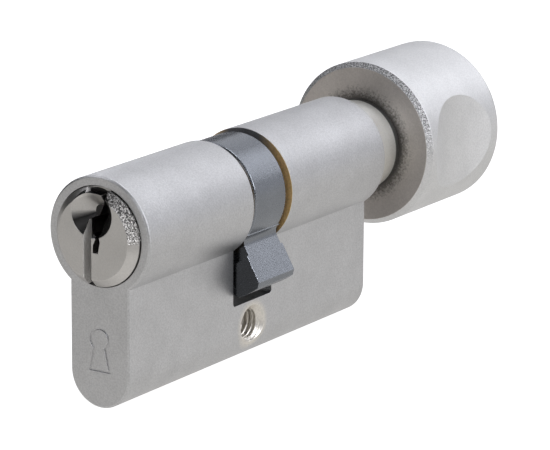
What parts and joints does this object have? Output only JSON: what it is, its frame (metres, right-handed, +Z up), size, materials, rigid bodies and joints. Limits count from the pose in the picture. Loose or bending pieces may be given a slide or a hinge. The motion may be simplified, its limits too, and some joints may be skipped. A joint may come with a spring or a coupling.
{
  "type": "euro cylinder",
  "caption": "Euro profile lock cylinder with a pin tumbler key side, a thumb-turn knob side, a rotating cam between them and a threaded hole for the fixing screw.",
  "frame": {"origin": "on the barrel axis, midway along the cam slot, straight above the fixing screw hole", "axes": "+Y along the barrel from the key side to the knob side, +Z up from the foot of the web to the barrel, +X towards the side the cam nose points to at rest"},
  "size_m": [0.025, 0.088, 0.037],
  "materials": {
    "satin_nickel": "satin nickel plate on brass",
    "plug_nickel": "satin nickel plate on brass",
    "knob_nickel": "fine blasted nickel plate on brass",
    "polished_nickel": "turned, nickel plated",
    "cam_steel": "sintered steel, grey",
    "dark_steel": "oiled hardened steel",
    "spring_steel": "bright spring wire",
    "pin_brass": "bare turned brass",
    "pin_steel": "turned steel"
  },
  "bodies": {
    "root": {"housing": "satin_nickel", "chamber_plug_1": "pin_brass", "chamber_plug_2": "pin_brass", "chamber_plug_3": "pin_brass", "chamber_plug_4": "pin_brass", "chamber_plug_5": "pin_brass", "pin_spring_1": "spring_steel", "pin_spring_2": "spring_steel", "pin_spring_3": "spring_steel", "pin_spring_4": "spring_steel", "pin_spring_5": "spring_steel"},
    "knob": {"knob": "knob_nickel", "knob_spindle": "polished_nickel", "knob_spindle_clip": "dark_steel", "knob_set_screw": "dark_steel"},
    "cam": {"cam": "cam_steel", "coupler_spring": "spring_steel"},
    "key_plug": {"key_plug": "plug_nickel", "key_plug_clip": "dark_steel"},
    "coupler": {"coupler": "dark_steel"},
    "key_pin_1": {"key_pin_1": "pin_brass"},
    "driver_pin_1": {"driver_pin_1": "pin_steel"},
    "key_pin_2": {"key_pin_2": "pin_brass"},
    "driver_pin_2": {"driver_pin_2": "pin_steel"},
    "key_pin_3": {"key_pin_3": "pin_brass"},
    "driver_pin_3": {"driver_pin_3": "pin_steel"},
    "key_pin_4": {"key_pin_4": "pin_brass"},
    "driver_pin_4": {"driver_pin_4": "pin_steel"},
    "key_pin_5": {"key_pin_5": "pin_brass"},
    "driver_pin_5": {"driver_pin_5": "pin_steel"}
  },
  "joints": [
    {"name": "knob_turn", "type": "hinge", "parent": "root", "child": "knob", "pos_m": [0, 0, 0], "axis": [0, 1, 0], "continuous": true},
    {"name": "cam_turn", "type": "hinge", "parent": "root", "child": "cam", "pos_m": [0, 0, 0], "axis": [0, 1, 0], "continuous": true},
    {"name": "key_plug_turn", "type": "hinge", "parent": "root", "child": "key_plug", "pos_m": [0, 0, 0], "axis": [0, 1, 0], "range_deg": [-90, 360]},
    {"name": "coupler_slide", "type": "slide", "parent": "key_plug", "child": "coupler", "axis": [0, 1, 0], "range_m": [0, 0.0016], "stiffness_N_per_m": 30, "springref_m": -0.001, "deforming": ["coupler_spring"]},
    {"name": "driver_pin_1_slide", "type": "slide", "parent": "root", "child": "driver_pin_1", "axis": [0, 0, 1], "range_m": [0, 0.00173], "stiffness_N_per_m": 30, "deforming": ["pin_spring_1"]},
    {"name": "key_pin_1_slide", "type": "slide", "parent": "key_plug", "child": "key_pin_1", "axis": [0, 0, 1], "range_m": [0, 0.00173]},
    {"name": "driver_pin_2_slide", "type": "slide", "parent": "root", "child": "driver_pin_2", "axis": [0, 0, 1], "range_m": [0, 0.00093], "stiffness_N_per_m": 30, "deforming": ["pin_spring_2"]},
    {"name": "key_pin_2_slide", "type": "slide", "parent": "key_plug", "child": "key_pin_2", "axis": [0, 0, 1], "range_m": [0, 0.00093]},
    {"name": "driver_pin_3_slide", "type": "slide", "parent": "root", "child": "driver_pin_3", "axis": [0, 0, 1], "range_m": [0, 0.00213], "stiffness_N_per_m": 30, "deforming": ["pin_spring_3"]},
    {"name": "key_pin_3_slide", "type": "slide", "parent": "key_plug", "child": "key_pin_3", "axis": [0, 0, 1], "range_m": [0, 0.00213]},
    {"name": "driver_pin_4_slide", "type": "slide", "parent": "root", "child": "driver_pin_4", "axis": [0, 0, 1], "range_m": [0, 0.00063], "stiffness_N_per_m": 30, "deforming": ["pin_spring_4"]},
    {"name": "key_pin_4_slide", "type": "slide", "parent": "key_plug", "child": "key_pin_4", "axis": [0, 0, 1], "range_m": [0, 0.00063]},
    {"name": "driver_pin_5_slide", "type": "slide", "parent": "root", "child": "driver_pin_5", "axis": [0, 0, 1], "range_m": [0, 0.00133], "stiffness_N_per_m": 30, "deforming": ["pin_spring_5"]},
    {"name": "key_pin_5_slide", "type": "slide", "parent": "key_plug", "child": "key_pin_5", "axis": [0, 0, 1], "range_m": [0, 0.00133]}
  ],
  "couplings": [
    {"joint": "cam_turn", "follows": "knob_turn", "ratio": 1},
    {"joint": "key_pin_1_slide", "follows": "driver_pin_1_slide", "ratio": 1},
    {"joint": "key_pin_2_slide", "follows": "driver_pin_2_slide", "ratio": 1},
    {"joint": "key_pin_3_slide", "follows": "driver_pin_3_slide", "ratio": 1},
    {"joint": "key_pin_4_slide", "follows": "driver_pin_4_slide", "ratio": 1},
    {"joint": "key_pin_5_slide", "follows": "driver_pin_5_slide", "ratio": 1}
  ]
}
